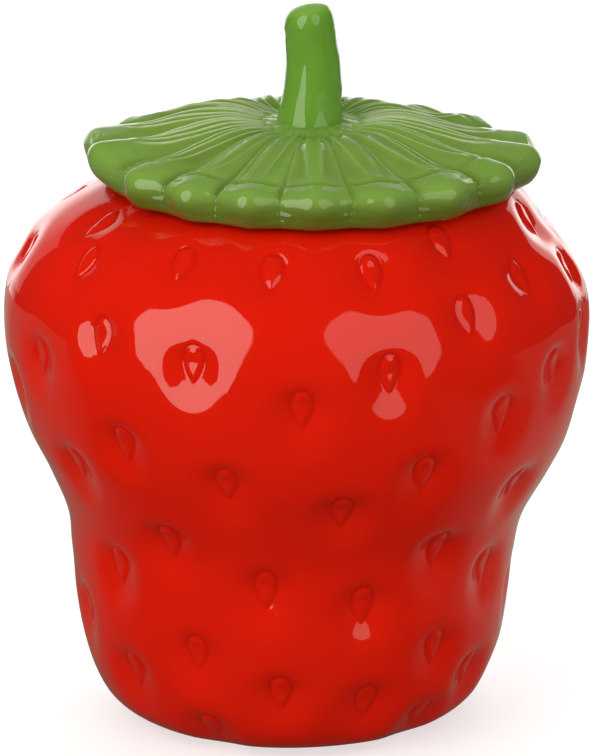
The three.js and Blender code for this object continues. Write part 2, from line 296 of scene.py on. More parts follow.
class ShaderTree:
    """Builds a node tree for a material or the world."""

    def __init__(self, owner: bpy.types.Material | bpy.types.World) -> None:
        """Starts the owner's node tree from nothing."""
        owner.use_nodes = True
        self.tree = owner.node_tree
        self.tree.nodes.clear()

    def _fill(self, socket: bpy.types.NodeSocket, value: object) -> None:
        """Sets a socket or links it.

        Args:
            socket: An input of a node.
            value: What it gets: a plain value, a wave, a socket, or a node for its first output.
        """
        if isinstance(value, Wave):
            value = value.socket
        elif isinstance(value, bpy.types.Node):
            value = value.outputs[0]
        if isinstance(value, bpy.types.NodeSocket):
            self.tree.links.new(value, socket)
        else:
            socket.default_value = value

    def node(self, kind: str, inputs: dict | None = None, **settings: str) -> bpy.types.Node:
        """Adds a node.

        Args:
            kind: The node's type, without its ShaderNode prefix.
            inputs: Values or links of its sockets, by name or number.
            settings: Its properties, which are set first.

        Returns:
            The node.
        """
        made = self.tree.nodes.new("ShaderNode" + kind)
        for name, value in settings.items():
            setattr(made, name, value)
        for name, value in (inputs or {}).items():
            self._fill(made.inputs[name], value)
        return made

    def close(self, kind: str, inputs: dict, output: str = "OutputMaterial") -> None:
        """Ends the tree with a shader and its output."""
        self.node(output, {"Surface": self.node(kind, inputs)})

    def maths(self, operation: str, *values: Wave | float) -> Wave:
        """Adds a Math node on two values."""
        return Wave(self, self.node("Math", dict(enumerate(values)), operation=operation).outputs[0])

    def attribute(self, mark: Mark) -> Wave:
        """Reads a vertex attribute."""
        return Wave(self, self.node("Attribute", attribute_name=mark.value).outputs["Fac"])

    def place(self, kind: str) -> bpy.types.NodeSocket:
        """Reads the kind of coordinates that is named."""
        return self.node("TexCoord").outputs[kind]

    def clouds(self, size: float, detail: float = 2.0, offset: float = 0.0) -> Wave:
        """Soft noise over the piece.

        Args:
            size: Width of its clouds in millimetres.
            detail: How many finer layers it has.
            offset: Moves the pattern, so that two of them differ.

        Returns:
            A value about one half.
        """
        moved = self.node("VectorMath", {0: self.place("Object"), 1: (offset,) * 3}, operation="ADD")
        made = self.node("TexNoise", {"Vector": moved, "Scale": 1 / (size * MM), "Detail": detail})
        return Wave(self, made.outputs["Fac"])

    def bump(self, height: Wave) -> bpy.types.Node:
        """Turns a height in millimetres into normals."""
        return self.node("Bump", {"Strength": 1.0, "Distance": MM, "Height": height})

    def mix(self, share: Wave, low: "Colour | bpy.types.NodeSocket",
            high: "Colour | bpy.types.NodeSocket") -> bpy.types.NodeSocket:
        """Mixes two colours by a value between 0 and 1.

        Args:
            share: How much of the high colour there is.
            low: The colour at 0.
            high: The colour at 1.

        Returns:
            The socket of the mixed colour.
        """
        made = self.node("Mix", data_type="RGBA")
        for name, value in {"Factor": share, "A": low, "B": high}.items():
            self._fill(next(s for s in made.inputs if s.name == name and s.enabled), value)
        return next(s for s in made.outputs if s.enabled)

    def ramp(self, place: Wave, stops: Table) -> Wave:
        """Reads a ramp of greys.

        Args:
            place: Where to read it.
            stops: Its stops, as place and grey.

        Returns:
            The grey there.
        """
        made = self.node("ValToRGB", {0: place})
        elements = made.color_ramp.elements
        while len(elements) < len(stops):
            elements.new(1.0)
        for element, (where, level) in zip(elements, stops):
            element.position, element.color = where, grey(level)
        return Wave(self, made.outputs[0])


@dataclass(frozen=True)
class Glaze:
    """A glossy poured glaze over fired clay, with bare clay and an inner glaze where marked."""

    name: str
    colour: Colour
    deep: Colour
    thin: Colour
    cloud_size: float = 34.0
    cloud_share: float = 0.35
    pool_and_shade_share: float = 0.8
    worn_size: float = 5.0
    worn_least: float = 0.7
    worn_spread: float = 0.6
    worn_detail: float = 3.0
    roughness: float = 0.035
    smear: float = 0.03
    smear_size: float = 9.0
    smear_detail: float = 3.0
    smear_offset: float = 0.4
    ripple: float = 0.06
    ripple_size: float = 13.0
    ripple_detail: float = 1.0
    ripple_offset: float = 0.7
    ior: float = 1.52
    lining: Colour = (0.83, 0.79, 0.70, 1)
    bisque: Colour = (0.72, 0.62, 0.47, 1)
    bisque_grain: Colour = (0.6192, 0.5332, 0.4042, 1)
    bisque_roughness: float = 0.75
    grain: float = 0.05
    grain_size: float = 0.6
    grain_detail: float = 4.0
    grain_start: float = 0.2

    def material(self) -> bpy.types.Material:
        """Makes the material.

        Returns:
            Colour that clouds a little, gathers in hollows and breaks pale on edges, with soft ripples; where
            the marks carry it, the deep colour also paints shade and the pale colour paints highlights and
            sheen.
        """
        made = bpy.data.materials.new(self.name)
        tree = ShaderTree(made)
        pool, thin, bare, liner = (tree.attribute(mark) for mark in Mark)
        # Pooled glaze darkens towards the deep colour; on the cap the same mark also paints shade under the
        # lip.
        gathered = (tree.clouds(self.cloud_size) * self.cloud_share + pool * self.pool_and_shade_share).clamped()
        patches = tree.clouds(self.worn_size, self.worn_detail)
        # Thin glaze pales towards the thin colour; on the leaf ridges and the stem's top the same mark also
        # paints a highlight and sheen.
        worn_and_highlight = (thin * (self.worn_least + self.worn_spread * patches)).clamped()
        grain = tree.clouds(self.grain_size, self.grain_detail)
        clay = tree.mix(grain.ramped(self.grain_start, 1.0), self.bisque, self.bisque_grain)
        colour = tree.mix(gathered, self.colour, self.deep)
        for share, over in ((worn_and_highlight, self.thin), (liner, self.lining), (bare, clay)):
            colour = tree.mix(share, colour, over)
        smears = tree.clouds(self.smear_size, self.smear_detail, self.smear_offset)
        roughness = bare * (self.bisque_roughness - self.roughness) + (self.roughness + self.smear * smears)
        waves = tree.clouds(self.ripple_size, self.ripple_detail, self.ripple_offset) * self.ripple
        tree.close("BsdfPrincipled", {
            "Base Color": colour, "Roughness": roughness, "IOR": self.ior,
            "Normal": tree.bump(waves + bare * grain * self.grain),
        })
        return made


@dataclass(frozen=True)
class Silicone:
    """Soft translucent silicone with a faint mould texture."""

    name: str = "silicone"
    colour: Colour = (0.78, 0.77, 0.73, 1)
    dusty: Colour = (0.66, 0.65, 0.61, 1)
    dust_size: float = 6.0
    dust_detail: float = 4.0
    roughness: float = 0.42
    smear: float = 0.16
    smear_size: float = 1.5
    smear_detail: float = 3.0
    smear_offset: float = 0.3
    grain: float = 0.03
    grain_size: float = 0.5
    ior: float = 1.41
    glow: float = 0.15
    glow_depth: float = 4.0

    def material(self) -> bpy.types.Material:
        """Makes the material.

        Returns:
            A soft pale finish that glows a little and is dusty in patches.
        """
        made = bpy.data.materials.new(self.name)
        tree = ShaderTree(made)
        smear = self.smear * tree.clouds(self.smear_size, self.smear_detail, self.smear_offset)
        tree.close("BsdfPrincipled", {
            "Base Color": tree.mix(tree.clouds(self.dust_size, self.dust_detail), self.colour, self.dusty),
            "Roughness": self.roughness + smear, "IOR": self.ior, "Subsurface Weight": self.glow,
            "Subsurface Radius": (self.glow_depth * MM,) * 3,
            "Normal": tree.bump(tree.clouds(self.grain_size) * self.grain),
        })
        return made


RED = Glaze(
    "red glaze", colour=(0.74, 0.0115, 0.002, 1), deep=(0.60, 0.006, 0.001, 1), thin=(0.80, 0.05, 0.02, 1),
)
# The leaf glaze's deep colour is browned so that it also paints the shade and red reflection under the lip,
# as well as pooled glaze; its pale thin colour also paints highlight lines on the ridges.
LEAF = Glaze(
    "leaf glaze", colour=(0.21, 0.38, 0.068, 1), deep=(0.10, 0.14, 0.013, 1),
    thin=(0.60, 0.70, 0.44, 1), cloud_size=22.0,
)
# The stem glaze's pale thin colour also paints the sheen on the stem's top, as well as thin glaze there.
STEM = Glaze(
    "stem glaze", colour=(0.155, 0.345, 0.04, 1), deep=(0.09, 0.25, 0.02, 1),
    thin=(0.27, 0.47, 0.09, 1), cloud_size=16.0,
)
COLLAR = Glaze(
    "collar glaze", colour=(0.20, 0.38, 0.07, 1), deep=(0.12, 0.27, 0.03, 1),
    thin=(0.45, 0.50, 0.26, 1), roughness=0.12,
)


def spun(points: Sequence[tuple[float, float]], steps: int, axis: float = 0.0,
         closed: bool = False) -> bmesh.types.BMesh:
    """Spins a line round an upright axis.

    Args:
        points: Radius and height of each point of the line.
        steps: Faces round the axis, from azimuth 0.
        axis: Where the axis lies along X.
        closed: Whether the line goes back to its first point.

    Returns:
        The mesh, with a layer for each mark.
    """
    shape = bmesh.new()
    for mark in Mark:
        shape.verts.layers.float.new(mark.value)
    line = [shape.verts.new((axis, -radius, height)) for radius, height in points]
    ends = line[1:] + line[:1] if closed else line[1:]
    edges = [shape.edges.new(pair) for pair in zip(line, ends)]
    bmesh.ops.spin(
        shape, geom=line + edges, axis=(0, 0, 1), cent=(axis, 0, 0),
        angle=FULL_TURN, steps=steps, use_merge=True,
    )
    return shape


def turned_tube(steps: int, rows: int) -> bmesh.types.BMesh:
    """Makes a tube of radius one, whose Z counts its rows."""
    return spun([(1, row) for row in range(rows + 1)], steps)


def turned_ring(section: Sequence[tuple[float, float]], steps: int, rounding: float) -> bmesh.types.BMesh:
    """Makes a ring round the lid's axis and rounds its corners.

    Args:
        section: Radius and height of each corner.
        steps: Faces round the ring.
        rounding: Width of the rounding of each corner.

    Returns:
        The ring.
    """
    shape = spun(section, steps, LID_AXIS, closed=True)
    bmesh.ops.remove_doubles(shape, verts=shape.verts, dist=WELD)
    bmesh.ops.recalc_face_normals(shape, faces=shape.faces)
    turned = [e for e in shape.edges if abs(e.verts[0].co.z - e.verts[1].co.z) < LEVEL
              and e.calc_face_angle(0) > SHARP_ANGLE]
    bmesh.ops.bevel(
        shape, geom=turned, offset=rounding, offset_type="OFFSET", segments=3, profile=0.5,
        affect="EDGES", material=-1, clamp_overlap=True,
    )
    return shape


class Spot(NamedTuple):
    """Where a vertex goes, and how it is marked for its finish."""

    place: Vector
    marks: dict[Mark, float]


def mould(shape: bmesh.types.BMesh, spot_at: Callable[[float, float], Spot]) -> None:
    """Moves each vertex of a tube to its place.

    Args:
        shape: A tube from turned_tube, refined or not.
        spot_at: Gives the spot for an azimuth and a row.
    """
    layers = {mark: shape.verts.layers.float[mark.value] for mark in Mark}
    for vert in shape.verts:
        spot = spot_at(math.atan2(vert.co.x, -vert.co.y), vert.co.z)
        vert.co = spot.place
        for mark, value in spot.marks.items():
            vert[layers[mark]] = value


class Stand(NamedTuple):
    """What a piece is called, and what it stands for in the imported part."""

    name: str
    node: str
    body: Body
    slot: Slot
    finish: Glaze | Silicone


class Piece(ABC):
    """A piece of the jar, in millimetres until it is finished."""

    stand: ClassVar[Stand]

    @abstractmethod
    def shape(self) -> bmesh.types.BMesh:
        """Makes the mesh."""

    def build(self) -> bpy.types.Object:
        """Merges doubles, points the faces outwards, makes the object in metres and dresses it.

        Returns:
            The finished piece, which stands for its CAD node.
        """
        name, node, body, slot, finish = self.stand
        shape = self.shape()
        bmesh.ops.remove_doubles(shape, verts=shape.verts, dist=WELD)
        bmesh.ops.recalc_face_normals(shape, faces=shape.faces)
        bmesh.ops.scale(shape, vec=(MM, MM, MM), verts=shape.verts)
        mesh = bpy.data.meshes.new(name)
        shape.to_mesh(mesh)
        shape.free()
        mesh.shade_smooth()
        mesh.materials.append(finish.material())
        piece = bpy.data.objects.new(name, mesh)
        bpy.context.scene.collection.objects.link(piece)
        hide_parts(node)
        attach(piece, body.value)
        LOG.info("%s stands for %s, with %d faces", name, node, len(mesh.polygons))
        return piece


class SeedFrame(NamedTuple):
    """Where a seed sits, and its three directions."""

    centre: Vector
    outwards: Vector
    upwards: Vector
    sideways: Vector


@dataclass
class Seed:
    """The relief of one seed: a plump teardrop, point down, with a crisp groove round it."""

    length: float = 13.0
    width: float = 7.4
    rise: float = 0.95
    shoulder: float = 2.7
    foot: float = 0.7
    groove: float = 0.3
    groove_width: float = 0.6
    margin: float = 1.5
    broadest_share: float = 0.25
    point_power: float = 0.85
    outline_steps: int = 80
    groove_reach: float = 3.0
    groove_least: float = 0.45
    pool_range: tuple[float, float] = (0.4, 0.9)
    _tree: kdtree.KDTree = field(init=False, repr=False)

    def __post_init__(self) -> None:
        """Samples half of the teardrop's outline, to measure distances from it."""
        self._tree = kdtree.KDTree(self.outline_steps + 1)
        for step in range(self.outline_steps + 1):
            along_share = -math.cos(math.pi * step / self.outline_steps)
            half = self._half_width(along_share)
            self._tree.insert((along_share * self.length / 2, half, 0), step)
        self._tree.balance()

    def _half_width(self, along_share: float) -> float:
        """Works out half the seed's width.

        Args:
            along_share: Share of its half length above its middle.

        Returns:
            The half width in millimetres.
        """
        over = along_share - self.broadest_share
        if over > 0:
            return self.width / 2 * math.sqrt(max(1 - (over / (1 - self.broadest_share)) ** 2, 0.0))
        bend = math.cos(-over / (1 + self.broadest_share) * math.pi / 2)
        return self.width / 2 * max(bend, 0.0) ** self.point_power

    def reach(self, along: float, across: float) -> float:
        """Measures how far inside the outline a place is.

        Args:
            along: Distance up from the seed's centre.
            across: Distance sideways from it.

        Returns:
            The distance, which is negative outside.
        """
        distance = self._tree.find((along, abs(across), 0))[2]
        along_share = along / (self.length / 2)
        inside = abs(along_share) < 1 and abs(across) < self._half_width(along_share)
        return distance if inside else -distance

    def relief(self, along: float, across: float) -> tuple[float, float]:
        """Height of the seed's relief and how much glaze pools there.

        Args:
            along: Distance up from the seed's centre.
            across: Distance sideways from it.

        Returns:
            Height in millimetres, and the pooling from 0 to 1.
        """
        reach = self.reach(along, across)
        if reach < -self.groove_reach * self.groove_width:
            return 0.0, 0.0
        top_share = smoothstep(along, -self.length / 2, self.length / 2)
        cut = self.groove * lerp(self.groove_least, 1.0, top_share) * bell(reach, self.groove_width)
        dome = smoothstep(reach, -self.foot, self.shoulder)
        return self.rise * dome - cut, bell(reach, self.groove_width) * lerp(*self.pool_range, top_share)


@dataclass
class Jar(Piece):
    """The hollow fruit with its dimples and seeds, its foot ring, flat rim, throat and inside."""

    stand: ClassVar[Stand] = Stand("jar_shell", "jar_body", Body.JAR, Slot.RED_GLAZE, RED)
    belly_radius: float = 95.0
    belly_height: float = 133.0
    rim_height: float = 182.0
    wall: float = 5.5
    floor: float = 7.0
    floor_corner: float = 9.0
    foot_radius: float = 42.0
    foot_ring: float = 8.0
    foot_recess: float = 2.0
    foot_middle_share: float = 0.6
    foot_glaze: float = 4.0
    neck_radius: float = 57.0
    neck_rise: float = 2.6
    mouth_radius: float = 49.0
    throat: float = 11.0
    rim_rounding: float = 0.9
    dimple_above: float = 12.5
    dimple_below: float = 21.0
    dimple_side: float = 15.0
    dimple_depth: float = 3.1
    dimple_power: int = 3
    shallow: float = 0.45
    shallow_shares: tuple[float, float] = (0.86, 0.93)
    skin_ends: tuple[float, float] = (0.03, 0.985)
    glaze_edge: tuple[float, float] = (0.4, 1.6)
    liner_edge: tuple[float, float] = (1.0, 3.0)
    wobble: float = 0.16
    wobble_size: float = 31.0
    steps: int = 264
    skin_rows: int = 112
    inner_rows: int = 16
    floor_corner_rows: int = 6
    rounding_rows: int = 3
    seed_cuts: int = 3
    seed: Seed = field(default_factory=Seed)
    lower_shares: Table = (
        (0, 0), (0.12, 0.01), (0.26, 0.032), (0.362, 0.065), (0.437, 0.117), (0.505, 0.2),
        (0.555, 0.308), (0.581, 0.429), (0.623, 0.526), (0.755, 0.639), (0.883, 0.744),
        (0.962, 0.857), (1, 1),
    )
    upper_shares: Table = (
        (0.983, 0.194), (0.924, 0.366), (0.8, 0.539), (0.625, 0.7), (0.44, 0.841), (0.24, 0.948),
        (0.079, 0.991), (0, 1),
    )
    lean_shares: Table = (
        (0, -0.016), (0.3, -0.01), (0.5, 0.014), (0.73, 0.003), (0.84, -0.005), (0.93, -0.014), (1, 0),
    )
    mouth_shift_share: float = 0.9
    seed_shares: Table = (
        (-62, 0.95), (77, 0.935), (37, 0.95), (-27, 0.925), (-5, 0.922), (18, 0.918), (-53, 0.9),
        (57, 0.872), (-85, 0.868), (81, 0.845), (37, 0.838), (-41, 0.795), (-20, 0.77), (18, 0.755),
        (78, 0.738), (-60, 0.725), (61, 0.702), (1, 0.698), (44, 0.648), (-77, 0.643), (-37, 0.603),
        (84, 0.58), (26, 0.562), (-15, 0.55), (-55, 0.533), (9, 0.495), (56, 0.49), (90, 0.42),
        (-32, 0.414), (37, 0.392), (-51, 0.338), (-7, 0.34), (59, 0.323), (18, 0.306), (82, 0.25),
        (-73, 0.226), (-26, 0.208), (41, 0.2), (-49, 0.143), (-3, 0.141), (59, 0.127), (21, 0.115),
        (86, 0.085), (42, 0.06), (-25, 0.053),
    )

    def __post_init__(self) -> None:
        """Works out the outline and the places of the seeds."""
        self.shoulder_height = self.rim_height - self.neck_rise
        lower = [
            (lerp(self.foot_radius, self.belly_radius, out), self.belly_height * up)
            for out, up in self.lower_shares
        ]
        upper = [
            (
                lerp(self.neck_radius, self.belly_radius, out),
                lerp(self.belly_height, self.shoulder_height, up),
            )
            for out, up in self.upper_shares
        ]
        self.outline = Outline(lower + upper)
        self.seeds = [
            self._seed_frame(math.radians(azimuth) + turn, up)
            for turn in (0.0, math.pi)
            for azimuth, up in self.seed_shares
        ]
        self.seed_tree = kdtree.KDTree(len(self.seeds))
        for number, seed in enumerate(self.seeds):
            self.seed_tree.insert(seed.centre, number)
        self.seed_tree.balance()
        self.foot_rings = self._foot_rings()
        self.upper_rings = [*self._mouth_rings(), *self._inside_rings()]

    def centre_at(self, height: float) -> float:
        """Works out how far the fruit leans sideways.

        Args:
            height: A height above the table.

        Returns:
            Where the fruit's centre lies along X there.
        """
        lean = self.belly_radius * eased_table(self.lean_shares, height / self.rim_height)
        shift = smoothstep(height, self.rim_height * self.mouth_shift_share, self.shoulder_height)
        return lean + LID_AXIS * shift

    def _seed_frame(self, azimuth: float, height_share: float) -> SeedFrame:
        """Works out where a seed sits on the smooth fruit.

        Args:
            azimuth: The seed's azimuth.
            height_share: Its height as a share of the rim's.

        Returns:
            Its frame.
        """
        station = self.outline.at_height(self.rim_height * height_share)
        radial = round_point(azimuth, 1, 0, 0)
        outwards = radial * station.outwards + Vector((0, 0, station.upwards))
        upwards = radial * -station.upwards + Vector((0, 0, station.outwards))
        centre = round_point(azimuth, station.radius, station.height, self.centre_at(station.height))
        return SeedFrame(centre, outwards, upwards, upwards.cross(outwards))

    def _foot_rings(self) -> list[tuple[float, float]]:
        """Works out the underside.

        Returns:
            Radius and height of the rings under the jar, from its middle outwards.
        """
        inner, recess = self.foot_radius - self.foot_ring, self.foot_recess
        soft = self.rim_rounding / 2
        return [
            (0, recess), (inner * self.foot_middle_share, recess), (inner - recess - soft, recess),
            (inner - recess, recess - soft / 2), (inner - soft, soft / 2), (inner, 0),
            (self.foot_radius - self.foot_ring / 2, 0),
        ]

    def _mouth_rings(self) -> list[tuple[float, float]]:
        """Works out the mouth.

        Returns:
            Radius and height of the rings of the neck, the flat rim and the throat.
        """
        soft, rim, low = self.rim_rounding, self.rim_height, self.rim_height - self.throat
        quarter = [math.pi / 2 * row / self.rounding_rows for row in range(self.rounding_rows + 1)]
        centres = (
            (self.neck_radius - soft, rim - soft), (self.mouth_radius + soft, rim - soft),
            (self.mouth_radius + soft, low + soft),
        )
        outer, inner, under = (
            [
                (radius + soft * math.cos(start + turn), height + soft * math.sin(start + turn))
                for turn in quarter
            ]
            for start, (radius, height) in zip((0, math.pi / 2, math.pi), centres)
        )
        return [*outer, (self.neck_radius - self.wall / 2, rim), *inner, *under]

    def _inside_rings(self) -> list[tuple[float, float]]:
        """Works out the inside.

        Returns:
            Radius and height of the rings from below the throat to the middle of the floor.
        """
        rings: list[tuple[float, float]] = []
        ceiling = self.rim_height - self.throat + self.rim_rounding
        corner_top = self.floor + self.floor_corner
        for row in range(self.inner_rows + 1):
            station = self.outline.at_height(lerp(self.shoulder_height, corner_top, row / self.inner_rows))
            radius = station.radius - self.wall * station.outwards
            height = min(station.height - self.wall * station.upwards, ceiling)
            if radius > self.mouth_radius + self.wall / 2 or rings:
                rings.append((radius, height))
        last_radius, last_height = rings[-1]
        for row in range(1, self.floor_corner_rows + 1):
            turn = math.pi / 2 * row / self.floor_corner_rows
            radius = last_radius - self.floor_corner * (1 - math.cos(turn))
            rings.append((radius, lerp(last_height, self.floor, math.sin(turn))))
        return [*rings, (rings[-1][0] / 2, self.floor), (0, self.floor)]

    def _relief_at(self, point: Vector) -> tuple[float, float]:
        """Works out the relief of the skin.

        Args:
            point: A point of the smooth fruit.

        Returns:
            How far the skin stands out there, and how much glaze pools there.
        """
        height = self.wobble * noise.noise(point / self.wobble_size)
        pool = 0.0
        for _, number, distance in self.seed_tree.find_range(point, self.dimple_below):
            seed = self.seeds[number]
            offset = point - seed.centre
            along, across = offset.dot(seed.upwards), offset.dot(seed.sideways)
            reach = self.dimple_above if along > 0 else self.dimple_below
            away = (distance**2 - along**2) / self.dimple_side**2 + (along / reach) ** 2
            shallow = 1 - self.shallow * smoothstep(seed.centre.z / self.rim_height, *self.shallow_shares)
            height -= self.dimple_depth * shallow * max(1 - away, 0) ** self.dimple_power
            if distance < self.seed.length / 2 + self.seed.margin * 2:
                rise, gathered = self.seed.relief(along, across)
                height, pool = height + rise, max(pool, gathered)
        return height, pool

    def _skin_spot(self, azimuth: float, length_share: float) -> Spot:
        """Works out a spot of the outer skin.

        Args:
            azimuth: Its azimuth.
            length_share: Its share of the outline's length.

        Returns:
            The spot.
        """
        station = self.outline.at(length_share)
        point = round_point(azimuth, station.radius, station.height, self.centre_at(station.height))
        height, pool = self._relief_at(point)
        outwards = round_point(azimuth, station.outwards, station.upwards, 0)
        first, last = self.skin_ends
        fade = smoothstep(length_share, 0, first) * (1 - smoothstep(length_share, last, 1))
        bare = 1 - smoothstep(station.height, *self.glaze_edge)
        return Spot(point + outwards * height * fade, {Mark.POOL_AND_SHADE: pool * fade, Mark.BARE: bare})

    def _spot(self, azimuth: float, row: float) -> Spot:
        """Works out a spot of the whole jar.

        Args:
            azimuth: Its azimuth.
            row: Its row, from the middle of the foot to the middle of the floor inside.

        Returns:
            The spot.
        """
        foot_rows = len(self.foot_rings)
        if row < foot_rows - 0.5:
            radius, height = self.foot_rings[round(row)]
            ring = self.foot_radius - self.foot_ring
            bare = smoothstep(radius, ring - self.foot_glaze, ring)
            return Spot(round_point(azimuth, radius, height, self.centre_at(0)), {Mark.BARE: bare})
        if row <= foot_rows + self.skin_rows:
            return self._skin_spot(azimuth, (row - foot_rows) / self.skin_rows)
        number = round(row) - foot_rows - self.skin_rows - 1
        radius, height = self.upper_rings[number]
        liner = 1 - smoothstep(radius - self.mouth_radius, *self.liner_edge)
        liner = liner if height > self.rim_height - self.throat else 1.0
        marks = {Mark.LINER: liner, Mark.THIN: 1.0 if height > self.rim_height - self.rim_rounding else 0.0}
        return Spot(round_point(azimuth, radius, height, self.centre_at(height)), marks)

    def _refine_seeds(self, shape: bmesh.types.BMesh) -> None:
        """Cuts the faces round each seed into finer ones.

        Args:
            shape: The tube, before it is moulded.
        """
        foot_rows = len(self.foot_rings)
        edges = set()
        for face in shape.faces:
            middle = face.calc_center_median()
            share = (middle.z - foot_rows) / self.skin_rows
            if not 0 < share < 1:
                continue
            station = self.outline.at(share)
            azimuth = math.atan2(middle.x, -middle.y)
            point = round_point(azimuth, station.radius, station.height, self.centre_at(station.height))
            _, number, distance = self.seed_tree.find(point)
            if distance > self.seed.length:
                continue
            seed = self.seeds[number]
            offset = point - seed.centre
            if self.seed.reach(offset.dot(seed.upwards), offset.dot(seed.sideways)) > -self.seed.margin:
                edges.update(face.edges)
        bmesh.ops.subdivide_edges(
            shape, edges=list(edges), cuts=self.seed_cuts, use_grid_fill=True, use_single_edge=True,
        )

    def shape(self) -> bmesh.types.BMesh:
        """Makes the mesh.

        Returns:
            The mesh, with finer faces round the seeds.
        """
        shape = turned_tube(self.steps, len(self.foot_rings) + self.skin_rows + len(self.upper_rings))
        self._refine_seeds(shape)
        mould(shape, self._spot)
        return shape


class LeafPlace(NamedTuple):
    """A place on the leaves, by the mesh and by where the leaf's folds draw it."""

    leaf: int
    column: float
    share: float
    slant: float
    crease: float
    run: float
    across: float
    azimuth: float
    around: float

    @property
    def edge(self) -> float:
        """Distance from the nearest leaf edge, in leaf widths."""
        return min(self.across, 1 - self.across)

    @property
    def inward(self) -> float:
        """The same distance, negative on the leaf nearer the front, which overlaps the other."""
        side = math.copysign(1, math.sin(math.radians(self.azimuth)))
        return (self.across if self.across < 0.5 else self.across - 1) * side

    @property
    def arch(self) -> float:
        """A round curve across the leaf, from 1 at its edges to 0 along its middle."""
        return math.cos(math.pi * self.across) ** 2


class Section(NamedTuple):
    """A row of the cap's section, and how strongly lobes and leaf edges shape it."""

    radius: float
    height: float
    lobes: float
    edges: float


